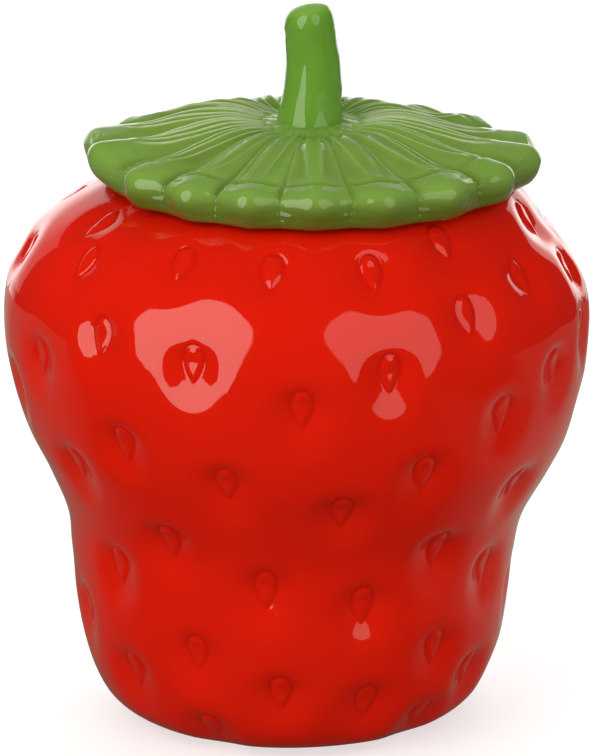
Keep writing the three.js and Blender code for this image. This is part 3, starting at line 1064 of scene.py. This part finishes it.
@dataclass
class Crown(Piece):
    """The leafy cap: eighteen leaves with folds, a crease and a fat rolled lip, hollow under its middle."""

    stand: ClassVar[Stand] = Stand("lid_leaves", "lid_crown", Body.LID, Slot.LEAF_GLAZE, LEAF)
    rise: float = 19.0
    thickness: float = 6.0
    corner: float = 1.0
    corner_shares: tuple[float, float] = (0.4, 0.15)
    well_floor: float = 14.4
    well_radius: float = 11.5
    well_gap: float = 0.4
    seat_height: float = 182.3
    seat_radius: float = 59.0
    seat_relief: float = 1.4
    hollow_radius: float = 40.5
    roof_falls: tuple[float, float, float] = (1.6, 1.5, 3.6)
    edge_depth: float = 1.1
    step_width: float = 0.016
    edge_width: float = 0.08
    edge_pool: float = 0.55
    edge_thin: float = 0.8
    cleft_width: float = 0.04
    arch_share: float = 0.87
    leaf_dome: float = 0.6
    blade_start: tuple[float, float] = (-0.03, 0.04)
    fold_depth: float = 1.0
    fold_power: float = 0.8
    fold_spread: float = 0.9
    fold_pattern: tuple[float, float, float] = (5.3, 3.1, 0.5)
    fold_pool: float = 0.3
    fold_start: tuple[float, float] = (-0.02, 0.3)
    fold_end: tuple[float, float] = (1.22, 1.36)
    usual_folds: float = 3.6
    ridge_range: tuple[float, float] = (0.6, 1.0)
    # How pale the fold ridges are painted: thin glaze there and a painted highlight line.
    ridge_thin_and_highlight: float = 0.75
    finger_depth: float = 1.3
    finger_start: tuple[float, float] = (0.85, 1.1)
    crease_depth: float = 1.2
    crease_width: float = 0.014
    crease_pull: float = 0.13
    crease_slant: float = 0.034
    crease_bow: float = 0.012
    crease_pool: float = 0.5
    crease_ends: tuple[float, float] = (0.04, 0.25)
    edge_slack: float = 0.06
    gather: float = 0.45
    gather_side: float = 0.3
    gather_start: tuple[float, float] = (-0.5, -0.1)
    gather_end: tuple[float, float] = (-0.05, 0.85)
    still_edge: float = 0.2
    stray: float = 0.035
    stray_pattern: tuple[float, float, float] = (3.7, 2.5, 2.2)
    stray_start: float = 0.3
    side_fill: float = 0.6
    side_radius: float = 61.0
    side_width: float = 6.5
    crest_dip: float = 2.3
    dip_radius: float = 27.0
    dip_width: float = 20.0
    dip_start: tuple[float, float] = (12.0, 20.0)
    # Heights over the seat across which the painted shade under the lip fades out.
    painted_shade_heights: tuple[float, float] = (-0.5, 7.0)
    join_lumps: float = 0.35
    join_start: float = 0.03
    lump_size: float = 3.2
    wobble: float = 0.3
    wobble_size: float = 16.0
    wobble_start: tuple[float, float] = (0.05, 0.15)
    leaf_steps: int = 36
    skin_rows: int = 116
    edges: Sequence[float] = (
        -112, -85, -59, -41, -25, -8, 10, 28, 48, 67, 92, 116, 136, 155, 174, 193, 211, 229,
    )
    folds: Sequence[int] = (6, 6, 4, 4, 3, 3, 3, 3, 4, 6, 6, 4, 3, 4, 3, 4, 4, 3)
    section_rows: Sequence[tuple[float, float, float, float]] = (
        (60.6, 1.4, 0, 0), (61.8, 0.0, 0, 0), (63.6, -2.4, 0, 0), (66.0, -4.0, 0.05, 0),
        (68.8, -4.4, 0.15, 0), (71.2, -3.5, 0.4, 0), (73.0, -1.4, 0.75, 0), (74.1, 1.2, 1, 0),
        (74.5, 3.8, 1, 0.1), (73.9, 6.1, 0.95, 0.3), (72.2, 7.9, 0.8, 0.6), (69.7, 8.6, 0.58, 0.9),
        (66.8, 8.8, 0.42, 1), (64.0, 9.0, 0.34, 1), (61.5, 9.3, 0.3, 1), (58.5, 9.9, 0.27, 1),
        (55.0, 10.8, 0.25, 0.9), (50.0, 12.3, 0.22, 0.8), (43.0, 14.8, 0.18, 0.7),
        (35.0, 17.2, 0.14, 0.6), (27.0, 18.0, 0.1, 0.5), (21.0, 17.2, 0.05, 0.35),
        (17.0, 16.0, 0, 0.2), (13.6, 15.4, 0, 0.05), (10.3, 15.8, 0, 0),
    )
    lip_row: int = 8
    crease_row: int = 14
    crest_row: int = 20
    join_row: int = 23
    lift_table: Table = (
        (-112, 1.4), (-99, 2.0), (-85, 3.0), (-72, 4.6), (-60, 2.2), (-48, 1.0), (-30, 0.2), (35, 0),
        (57, 1.2), (80, 1.6), (95, -0.7), (106, -0.8), (124, 0), (180, 0.1), (232, 0.1), (248, 1.6),
    )
    lift_start: float = 33.5
    trim_table: Table = ((-112, 0), (104, 0), (124, 4), (180, 5), (230, 5), (248, 0))
    trim_start: float = 60.0
    hump_table: Table = (
        (-112, 1.6), (-98, 1.4), (-80, 0.3), (75, 0), (98, -1.2), (115, -1.3), (150, -0.8), (220, 0.6),
        (238, 2.0), (248, 1.6),
    )
    hump_radius: float = 44.0
    hump_width: float = 13.0
    valley_table: Table = (
        (-112, 5.6), (-72, 5.2), (-48, 4.4), (-20, 4.0), (20, 4.0), (50, 4.6), (80, 5.6), (116, 5.2),
        (180, 4.2), (248, 5.6),
    )
    seam_table: Table = (
        (-112, 1), (-45, 0.9), (-41, 0.8), (-33, 0.7), (-25, 0.9), (-17, 0.4), (-8, 0.3), (10, 0.25),
        (28, 0.85), (50, 1), (248, 1),
    )
    notch_azimuth: float = 207.0
    notch_spread: float = 13.0
    notch_depth: float = 3.0
    notch_radius: float = 25.0
    notch_width: float = 9.0
    crease_table: Table = (
        (-112, 0), (-50, 0.2), (-28, 1), (25, 1), (50, 0.4), (80, 0.1), (180, 0.9), (248, 0),
    )
    fold_table: Table = (
        (-112, 1.3), (-60, 1.15), (-25, 0.45), (20, 0.4), (50, 0.85), (80, 1.25), (180, 0.8), (248, 1.3),
    )

    def __post_init__(self) -> None:
        """Works out the section, and how the shaping fades along it."""
        self.section = [Section(*row) for row in self.section_rows]
        self.outline = Outline([(row.radius, row.height) for row in self.section])
        shares = self.outline.knot_shares
        self.lobe_table = [(share, row.lobes) for share, row in zip(shares, self.section)]
        self.edge_table = [(share, row.edges) for share, row in zip(shares, self.section)]
        self.lip_radius = self.section[self.lip_row].radius
        self.crease_share, self.crest_share, self.join_share = (
            shares[row] for row in (self.crease_row, self.crest_row, self.join_row)
        )
        self.under = self._under_rings()

    def _under_rings(self) -> list[tuple[float, float]]:
        """Works out the underside.

        Returns:
            Radius and height of the rings under the cap, from its middle outwards.
        """
        roof, well = self.rise - self.thickness, self.well_floor - self.thickness
        crest, hollow, seat = self.section[self.crest_row].radius, self.hollow_radius, self.seat_radius
        near, middle, far = self.roof_falls
        inwards, upwards = (share * self.corner for share in self.corner_shares)
        return [
            (0, well), (self.well_radius, well), ((self.well_radius + crest) / 2, roof - near), (crest, roof),
            ((crest + hollow) / 2, roof - middle), (hollow - 3 * self.corner, roof - far),
            (hollow - self.corner, roof - self.thickness), (hollow, self.corner),
            (hollow + inwards, 0), (seat - self.corner, 0), (seat, upwards),
            (seat + self.seat_relief, self.seat_relief),
        ]

    def _azimuth(self, leaf: int, across: float) -> float:
        """The azimuth in degrees at a share of the way across a leaf."""
        stops = [*self.edges, self.edges[0] + FULL_CIRCLE]
        return lerp(stops[leaf], stops[leaf + 1], across)

    def _column_at(self, turn: float) -> tuple[int, float]:
        """Finds the leaf of a step round the tube.

        Args:
            turn: The angle of the step in the tube.

        Returns:
            The leaf's number, and the step's share of that leaf's steps.
        """
        place = (turn / FULL_TURN) % 1 * len(self.edges)
        leaf = min(int(place + ROUNDING), len(self.edges) - 1)
        return leaf, min(max(place - leaf, 0.0), 1.0)

    def _across(self, leaf: int, column: float, run: float, slant: float) -> float:
        """How far across its leaf a column of the mesh lies, as its folds draw together.

        Args:
            leaf: The leaf's number.
            column: Share of the leaf's columns.
            run: Share of the way from the crease to the crest.
            slant: Which side of the leaf is the outer one, from -1 to 1.

        Returns:
            The share of the way across, from 0 to 1.
        """
        across = column - self.edge_slack * math.sin(FULL_TURN * column)
        gather = (1 - smoothstep(run, *self.gather_end)) * smoothstep(run, *self.gather_start)
        pull = (0.5 + self.gather_side * slant - across) * self.gather * gather
        by_leaf, by_column, by_run = self.stray_pattern
        stray = self.stray * noise.noise(Vector((leaf * by_leaf, column * by_column, run * by_run)))
        inside = smoothstep(min(column, 1 - column), 0, self.still_edge)
        return across + inside * (pull + stray * smoothstep(run, 0, self.stray_start))

    def _place(self, leaf: int, column: float, share: float) -> LeafPlace:
        """Works out where a spot of the mesh lies on its leaf.

        Args:
            leaf: The leaf's number.
            column: Share of the leaf's columns.
            share: Share of the section's length.

        Returns:
            The place.
        """
        slant = min(max(2 * math.sin(math.radians(self._azimuth(leaf, 0.5))), -1), 1)
        crease = self.crease_share - self.crease_slant * slant * (column - 0.5) * 2
        crease += self.crease_bow * math.cos(FULL_TURN * (column - 0.5)) * (1 - abs(slant))
        run = (share - crease) / (self.crest_share - crease)
        across = self._across(leaf, column, run, slant)
        azimuth = self._azimuth(leaf, across)
        around = (azimuth - self.edges[0]) % FULL_CIRCLE + self.edges[0]
        return LeafPlace(leaf, column, share, slant, crease, run, across, azimuth, around)

    def _fold(self, place: LeafPlace) -> tuple[float, float]:
        """The folds of a leaf, which are crisp along their ridges and round between them.

        Args:
            place: A place on the leaves.

        Returns:
            How far below a ridge the place is, and how near to a ridge, both about 0 to 1.
        """
        folds = self.folds[place.leaf]
        wave = place.column * folds
        depth = abs(math.sin(math.pi * wave)) ** self.fold_power
        by_leaf, by_fold, layer = self.fold_pattern
        pattern = Vector((place.leaf * by_leaf, math.floor(wave) * by_fold, layer))
        vary = 1 + self.fold_spread * noise.noise(pattern)
        strength = smoothstep(place.run, *self.fold_start) * (1 - smoothstep(place.run, *self.fold_end))
        strong = eased_table(self.fold_table, place.around)
        ridge = strength * smoothstep(1 - depth, *self.ridge_range) * strong**2
        return strength * depth * vary * self.usual_folds / folds * strong, ridge

    def _seam(self, place: LeafPlace) -> float:
        """How far down the edge of the lower leaf lies, from 0 to 1, steep on the upper leaf."""
        width = self.edge_width if place.inward > 0 else self.step_width
        return bell(place.inward, width) * eased_table(self.edge_table, place.share)

    def _crease(self, place: LeafPlace) -> float:
        """How deep in the crease behind the lip a place is, from 0 to 1."""
        deepest = eased_table(self.crease_table, place.around)
        return deepest * bell(place.share - place.crease, self.crease_width)

    def _on_blade(self, place: LeafPlace) -> float:
        """Whether a place is on the blade behind the lip, from 0 to 1."""
        start, end = self.blade_start
        return smoothstep(place.share, place.crease + start, place.crease + end)

    def _depth(self, place: LeafPlace, fold: float) -> float:
        """How far a place lies below the smooth skin.

        Args:
            place: A place on the leaves.
            fold: How far below a ridge it is.

        Returns:
            The depth in millimetres.
        """
        lobe = lerp(bell(place.edge, self.cleft_width), place.arch, self.arch_share)
        valley = eased_table(self.valley_table, place.around)
        valley *= eased_table(self.lobe_table, place.share) * lobe
        seam = self._seam(place) * self.edge_depth * eased_table(self.seam_table, place.around)
        dome = self.leaf_dome * place.arch * self._on_blade(place) * eased_table(self.edge_table, place.share)
        folded = fold * lerp(self.fold_depth, self.finger_depth, smoothstep(place.run, *self.finger_start))
        pinch = self.crease_depth * self._crease(place) * smoothstep(place.edge, *self.crease_ends)
        return valley + seam + dome + folded + pinch

    def _swell(self, place: LeafPlace, radius: float) -> float:
        """How far the skin is raised as a whole: by lifted tips, filled sides, a hump and a notch.

        Args:
            place: A place on the leaves.
            radius: Its distance from the axis.

        Returns:
            The rise in millimetres.
        """
        lift = eased_table(self.lift_table, place.around)
        lift *= smoothstep(radius, self.lift_start, self.lip_radius)
        side = self.side_fill * place.slant**2 * bell(radius - self.side_radius, self.side_width)
        hump = eased_table(self.hump_table, place.around) * bell(radius - self.hump_radius, self.hump_width)
        notch = self.notch_depth * bell(place.around - self.notch_azimuth, self.notch_spread)
        return lift + side + hump - notch * bell(radius - self.notch_radius, self.notch_width)

    def _marks(self, place: LeafPlace, height: float, fold: float, ridge: float) -> dict[Mark, float]:
        """Where glaze gathers on the leaves and where it breaks pale, with painted shade under the lip and
        painted highlight lines on the ridges.

        Args:
            place: A place on the leaves.
            height: Its height above the seat.
            fold: How far below a ridge it is.
            ridge: How near to a ridge it is.

        Returns:
            The marks, each from 0 to 1.
        """
        # Painted shade: the lip's underside darkens towards its bottom, carried by the pool mark along with
        # the pooled glaze.
        under = 1 - smoothstep(height, *self.painted_shade_heights)
        pool = max(self.edge_pool * self._seam(place), fold * self.fold_pool, under)
        pool = max(pool, self.crease_pool * self._crease(place))
        lip = bell(place.inward + self.step_width, self.step_width) * self._on_blade(place)
        lip *= self.edge_thin * (1 - under) * eased_table(self.seam_table, place.around) ** 2
        # The ridges' pale lines are thin glaze and a painted highlight; the pale line along the leaf edges is
        # thin glaze.
        return {Mark.POOL_AND_SHADE: min(pool, 1.0), Mark.THIN: min(max(self.ridge_thin_and_highlight * ridge, lip), 1.0)}

    def _leaf_spot(self, place: LeafPlace) -> Spot:
        """Works out a spot of the leaves.

        Args:
            place: Its place on the leaves.

        Returns:
            The spot.
        """
        share, crease = place.share, place.crease
        pull = bell(share - crease, self.crease_pull)
        station = self.outline.at(share + (self.crease_share - crease) * pull)
        fold, ridge = self._fold(place)
        depth = self._depth(place, fold)
        radius = station.radius - depth * station.outwards
        height = station.height - depth * station.upwards + self._swell(place, radius)
        trim = eased_table(self.trim_table, place.around)
        radius -= trim * smoothstep(radius, self.trim_start, self.lip_radius)
        azimuth = math.radians(place.azimuth)
        dip = self.crest_dip * bell(station.radius - self.dip_radius, self.dip_width)
        height -= dip * max(math.cos(azimuth), 0) ** 2 * smoothstep(station.radius, *self.dip_start)
        point = round_point(azimuth, radius, self.seat_height + height, LID_AXIS)
        swell = self.wobble * noise.noise(point / self.wobble_size) * smoothstep(share, *self.wobble_start)
        lump = self.join_lumps * noise.noise(point / self.lump_size)
        point.z += swell + lump * smoothstep(share, self.join_share - self.join_start, 1)
        return Spot(point, self._marks(place, height, fold, ridge))

    def _spot(self, turn: float, row: float) -> Spot:
        """A spot of the cap, by its row from under its middle, round the lip and up to the well.

        Args:
            turn: The angle of its step in the tube.
            row: Its row in the tube.

        Returns:
            The spot.
        """
        leaf, column = self._column_at(turn)
        angle = math.radians(self._azimuth(leaf, column))
        number = round(row)
        if number < len(self.under):
            radius, height = self.under[number]
            seat = 1.0 if self.hollow_radius < radius <= self.seat_radius else 0.0
            return Spot(round_point(angle, radius, self.seat_height + height, LID_AXIS), {Mark.BARE: seat})
        share = (row - len(self.under)) / self.skin_rows
        if share <= 1:
            return self._leaf_spot(self._place(leaf, column, share))
        last = number - len(self.under) - self.skin_rows
        radius = self.section[-1].radius - self.well_gap if last == 1 else 0.0
        return Spot(round_point(angle, radius, self.seat_height + self.well_floor, LID_AXIS), {})

    def shape(self) -> bmesh.types.BMesh:
        """Makes the mesh.

        Returns:
            The mesh, with the same number of columns for each leaf.
        """
        shape = turned_tube(self.leaf_steps * len(self.edges), len(self.under) + self.skin_rows + 2)
        mould(shape, self._spot)
        return shape


@dataclass
class Stem(Piece):
    """The tapered stem with its slanted, rounded top and its uneven join to the cap."""

    stand: ClassVar[Stand] = Stand("lid_stem", "stem_handle", Body.LID, Slot.STEM_GLAZE, STEM)
    radius: float = 9.4
    length: float = 39.6
    slant: float = 8.0
    forward: float = 4.0
    forward_power: float = 1.5
    deeper: float = 0.15
    base: float = 197.0
    steps: int = 72
    rows: int = 72
    wobble: float = 0.25
    wobble_width: float = 7.0
    wobble_length: float = 16.0
    wobble_start: float = 3.0
    join_width: float = 1.4
    join_pool: float = 0.6
    # How pale the stem's top is painted: thin glaze there and a painted sheen.
    top_thin_and_sheen: float = 0.6
    top_start: float = 0.9
    section_shares: Sequence[tuple[float, float, float]] = (
        (0, 1.2, -0.04), (0.04, 1.13, -0.04), (0.13, 1.06, -0.02), (0.33, 0.99, 0.04), (0.53, 0.92, 0.05),
        (0.74, 0.86, -0.03), (0.84, 0.85, -0.08), (0.91, 0.79, -0.09), (0.96, 0.65, -0.09),
        (0.985, 0.42, -0.09), (1, 0.001, -0.09),
    )

    def __post_init__(self) -> None:
        """Works out the side view and the sideways bend."""
        self.outline = Outline([
            (self.radius * out, self.length * up) for up, out, _ in self.section_shares
        ])
        self.bend_table = [(up, bend) for up, _, bend in self.section_shares]

    def _spot(self, azimuth: float, row: float) -> Spot:
        """A spot of the stem.

        Args:
            azimuth: Its azimuth round the stem.
            row: Its row, from the middle of the stem's foot to the middle of its top.

        Returns:
            The spot.
        """
        if row < 0.5:
            return Spot(Vector((LID_AXIS, 0, self.base)), {})
        station = self.outline.at((row - 1) / self.rows)
        up_share = station.height / self.length
        centre_x = LID_AXIS + self.radius * eased_table(self.bend_table, up_share)
        point = round_point(azimuth, station.radius, self.base + station.height, centre_x)
        tilt = math.tan(math.radians(self.slant)) * up_share**2
        point.z += (point.x - centre_x) * tilt
        point.y *= 1 + self.deeper * up_share
        point.y -= self.forward * up_share**self.forward_power
        width, length = self.wobble_width, self.wobble_length
        swell = self.wobble * noise.noise(Vector((point.x / width, point.y / width, point.z / length)))
        point += round_point(azimuth, swell * smoothstep(station.radius, 0, self.wobble_start), 0, 0)
        # Painted sheen: the top pales towards the pale colour, as well as the glaze thinning there.
        thin = self.top_thin_and_sheen * smoothstep(up_share, self.top_start, 1.0)
        pool = self.join_pool * bell(station.height, self.join_width)
        return Spot(point, {Mark.POOL_AND_SHADE: pool, Mark.THIN: thin})

    def shape(self) -> bmesh.types.BMesh:
        """Makes the mesh.

        Returns:
            The mesh, round and moulded.
        """
        shape = turned_tube(self.steps, self.rows + 1)
        mould(shape, self._spot)
        return shape


@dataclass
class Collar(Piece):
    """The locating ring under the cap, with the groove for the seal."""

    stand: ClassVar[Stand] = Stand("lid_collar_ring", "lid_collar", Body.LID, Slot.COLLAR_GLAZE, COLLAR)
    radius: float = 45.5
    wall: float = 5.0
    drop: float = 16.0
    chamfer: float = 0.8
    rounding: float = 0.35
    groove_depth: float = 2.5
    groove_height: float = 6.6
    groove_drop: float = 3.4
    bare_edge: tuple[float, float] = (0.6, 1.6)
    thin_edge: tuple[float, float] = (1.2, 3.5)
    top: float = 182.0
    steps: int = 128

    def shape(self) -> bmesh.types.BMesh:
        """Makes the mesh, whose glaze thins out towards the bare bottom edge.

        Returns:
            The ring, with its marks.
        """
        bottom, inner = self.top - self.drop, self.radius - self.wall
        root, groove_top = self.radius - self.groove_depth, self.top - self.groove_drop
        groove_bottom = groove_top - self.groove_height
        shape = turned_ring([
            (inner + self.chamfer, bottom), (self.radius - self.chamfer, bottom),
            (self.radius, bottom + self.chamfer), (self.radius, groove_bottom), (root, groove_bottom),
            (root, groove_top), (self.radius, groove_top), (self.radius, self.top), (inner, self.top),
            (inner, bottom + self.chamfer),
        ], self.steps, self.rounding)
        for mark, edge in ((Mark.BARE, self.bare_edge), (Mark.THIN, self.thin_edge)):
            layer = shape.verts.layers.float[mark.value]
            for vert in shape.verts:
                vert[layer] = 1 - smoothstep(vert.co.z - bottom, *edge)
        return shape


@dataclass
class Seal(Piece):
    """The finned silicone ring between the collar and the throat."""

    stand: ClassVar[Stand] = Stand("seal_ring", "lid_seal_ring", Body.SEAL, Slot.SILICONE, Silicone())
    inner: float = 43.3
    band: float = 2.2
    tip: float = 48.7
    rounding: float = 0.12
    bottom: float = 172.3
    top: float = 178.3
    fins: int = 3
    steps: int = 160
    fin_shares: Table = ((0.08, 0.0), (0.42, 1.0), (0.62, 1.0), (0.78, 0.06))

    def shape(self) -> bmesh.types.BMesh:
        """Makes the mesh.

        Returns:
            The ring with its fins.
        """
        root = self.inner + self.band
        pitch = (self.top - self.bottom) / self.fins
        fins = [
            (lerp(root, self.tip, out), self.bottom + pitch * (fin + up))
            for fin in range(self.fins) for up, out in self.fin_shares
        ]
        ends = [(self.inner, self.bottom), (root, self.bottom)], [(root, self.top), (self.inner, self.top)]
        return turned_ring([*ends[0], *fins, *ends[1]], self.steps, self.rounding)


@dataclass
class Softbox:
    """A rectangular or oval studio light that faces the jar, with its sizes in metres."""

    name: str
    azimuth: float
    elevation: float
    distance: float
    width: float
    height: float
    radiance: float
    mirrored: bool = True
    shape: str = "RECTANGLE"

    def build(self, target: Vector) -> None:
        """Makes the light.

        Args:
            target: What it is aimed at, in metres.
        """
        light = bpy.data.lights.new(self.name, "AREA")
        light.shape = self.shape
        light.size, light.size_y = self.width, self.height
        light.energy = self.radiance * math.pi * self.width * self.height
        if self.shape == "ELLIPSE":
            light.energy *= math.pi / 4
        light.color = WARM_WHITE if self.mirrored else (1, 1, 1)
        lamp = bpy.data.objects.new(self.name, light)
        angle, up = math.radians(self.azimuth), math.radians(self.elevation)
        away = round_point(angle, math.cos(up), math.sin(up), 0)
        lamp.location = target + away * self.distance
        lamp.rotation_euler = away.to_track_quat("Z", "Y").to_euler()
        lamp.visible_camera, lamp.visible_glossy = False, self.mirrored
        bpy.context.scene.collection.objects.link(lamp)


@dataclass
class Studio:
    """The pale floor, the pale surroundings, the lights and the camera."""

    distance: float = 1600.0
    elevation: float = 15.5
    aim: tuple[float, float, float] = (0, 0, 118.0)
    pixels_across: float = 2.5
    pixels_down: float = 18.5
    pixels_per_radian: float = 4909.0
    picture_height: float = 756.0
    sensor: float = 36.0
    nearest: float = 0.05
    farthest: float = 50.0
    floor_reach: float = 4.0
    floor_grey: float = 0.55
    floor_roughness: float = 0.9
    floor_glow: float = 0.6
    table_box: tuple[float, float, float, float] = (-1.2, -0.5, 1.2, 0.75)
    table_tint: tuple[float, float, float] = (1.0, 0.9, 0.72)
    table_light: float = 0.04
    behind_light: float = 0.16
    behind_start: float = -0.06
    behind_slope: float = 10.0
    right_light: float = 0.2
    right_direction: tuple[float, float] = (0.75, 0.66)
    right_start: float = 0.02
    right_slope: float = 8.0
    right_end: float = 0.2
    right_end_slope: float = 5.0
    paper_light: float = 1.5
    paper_back: Table = ((0.9, 0), (0.95, 1))
    paper_up: Table = ((0.395, 0), (0.41, 0.8), (0.53, 1), (0.56, 0.9), (0.61, 0.25), (0.7, 0.15), (0.8, 0))
    dim_light: float = 0.03
    ambient_light: float = 0.3
    light_target: float = 0.12
    softboxes: Sequence[Softbox] = (
        Softbox("softbox left", -42.5, 20, 1.3, 1.14, 1.85, 2.9, shape="ELLIPSE"),
        Softbox("softbox right", 37, 22, 1.3, 1.08, 1.6, 1.4, shape="ELLIPSE"),
        Softbox("softbox behind right", 150, 10, 1.3, 0.5, 0.6, 1.0),
        Softbox("softbox behind left", -152, 12, 1.3, 0.7, 0.7, 0.35),
        Softbox("fill behind", 180, 45, 1.6, 1.6, 1.6, 2.0, mirrored=False),
        Softbox("fill right", 85, 5, 1.6, 1.2, 1.2, 0.9, mirrored=False),
    )

    def camera(self) -> None:
        """Makes the camera at the photograph's place."""
        up = math.radians(self.elevation)
        back = Vector((0, -math.cos(up), math.sin(up)))
        above = Vector((0, math.sin(up), math.cos(up)))
        pixel = self.distance / self.pixels_per_radian
        place = Vector(self.aim) + back * self.distance - above * (self.pixels_down * pixel)
        place.x += self.pixels_across * pixel
        lens = bpy.data.cameras.new("camera")
        lens.sensor_width = self.sensor
        lens.lens = self.pixels_per_radian / self.picture_height * self.sensor
        lens.clip_start, lens.clip_end = self.nearest, self.farthest
        eye = bpy.data.objects.new("camera", lens)
        eye.matrix_world = Matrix.Translation(place * MM) @ back.to_track_quat("Z", "Y").to_matrix().to_4x4()
        bpy.context.scene.collection.objects.link(eye)
        bpy.context.scene.camera = eye

    @staticmethod
    def _plane(name: str, box: tuple[float, float, float, float]) -> tuple[bpy.types.Object, ShaderTree]:
        """Makes a level plane that isn't part of the jar.

        Args:
            name: The plane's name.
            box: Its left, front, right and back edges in metres.

        Returns:
            The plane, and the empty node tree of its finish.
        """
        left, front, right, back = box
        mesh = bpy.data.meshes.new(name)
        places = [(left, front, 0), (right, front, 0), (right, back, 0), (left, back, 0)]
        mesh.from_pydata(places, [], [(0, 1, 2, 3)])
        mesh.materials.append(bpy.data.materials.new("pale " + name))
        plane = bpy.data.objects.new(name, mesh)
        bpy.context.scene.collection.objects.link(plane)
        return plane, ShaderTree(mesh.materials[0])

    def floor(self) -> None:
        """Makes the pale floor, which the camera sees and the glaze doesn't."""
        ground, tree = self._plane("floor", (-self.floor_reach,) * 2 + (self.floor_reach,) * 2)
        tree.close("BsdfPrincipled", {
            "Base Color": grey(self.floor_grey), "Roughness": self.floor_roughness, "Specular IOR Level": 0.0,
            "Emission Color": grey(1), "Emission Strength": self.floor_glow,
        })
        ground.visible_glossy = ground.visible_diffuse = False

    def table(self) -> None:
        """Makes the table top that only the glaze reflects: dim in front, paler at the right and behind."""
        top, tree = self._plane("table", self.table_box)
        place = tree.node("SeparateXYZ", {0: tree.place("Object")}).outputs
        across, back = Wave(tree, place["X"]), Wave(tree, place["Y"])
        behind = back.ramped(self.behind_start, self.behind_slope)
        along_x, along_y = self.right_direction
        right = (across * along_x + back * along_y).ramped(self.right_start, self.right_slope)
        right = right * (1 - across.ramped(self.right_end, self.right_end_slope))
        pale = right * self.right_light + behind * self.behind_light + self.table_light
        channels = {channel: pale * share for channel, share in enumerate(self.table_tint)}
        warm = tree.node("CombineColor", channels)
        tree.close("Emission", {"Color": warm, "Strength": 1.0})
        top.visible_camera = top.visible_diffuse = top.visible_shadow = False

    def surroundings(self) -> None:
        """Makes the world: pale to the camera, and dim in front where only the softboxes shine."""
        world = bpy.data.worlds.new("studio")
        bpy.context.scene.world = world
        tree = ShaderTree(world)
        parts = tree.node("SeparateXYZ", {0: tree.place("Generated")}).outputs
        back, up = (Wave(tree, parts[axis]) * 0.5 + 0.5 for axis in ("Y", "Z"))
        paper = tree.ramp(back, self.paper_back) * tree.ramp(up, self.paper_up)
        glow = tree.node("CombineColor", dict.fromkeys(range(3), paper * self.paper_light + self.dim_light))
        path = tree.node("LightPath").outputs
        colour = tree.mix(Wave(tree, path["Is Diffuse Ray"]), glow.outputs[0], grey(self.ambient_light))
        colour = tree.mix(Wave(tree, path["Is Camera Ray"]), colour, grey(1))
        tree.close("Background", {"Color": colour, "Strength": 1.0}, "OutputWorld")

    def build(self) -> None:
        """Makes all of the studio."""
        self.camera()
        self.floor()
        self.table()
        self.surroundings()
        for softbox in self.softboxes:
            softbox.build(Vector((0, 0, self.light_target)))
        view = bpy.context.scene.view_settings
        view.view_transform, view.look = "Standard", "None"
        bpy.context.scene.cycles.use_denoising = True


def main() -> None:
    """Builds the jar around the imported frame."""
    logging.basicConfig(level=logging.INFO, format="%(message)s")
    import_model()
    Studio().build()
    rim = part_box("jar_body")[1].z / MM
    Jar(rim_height=rim).build()
    Crown(seat_height=rim + FIT_GAP).build()
    Stem(base=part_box("stem_handle")[0].z / MM).build()
    Collar(top=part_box("lid_collar")[1].z / MM).build()
    Seal(bottom=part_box("lid_seal_ring")[0].z / MM, top=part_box("lid_seal_ring")[1].z / MM).build()


if __name__ == "__main__":
    main()
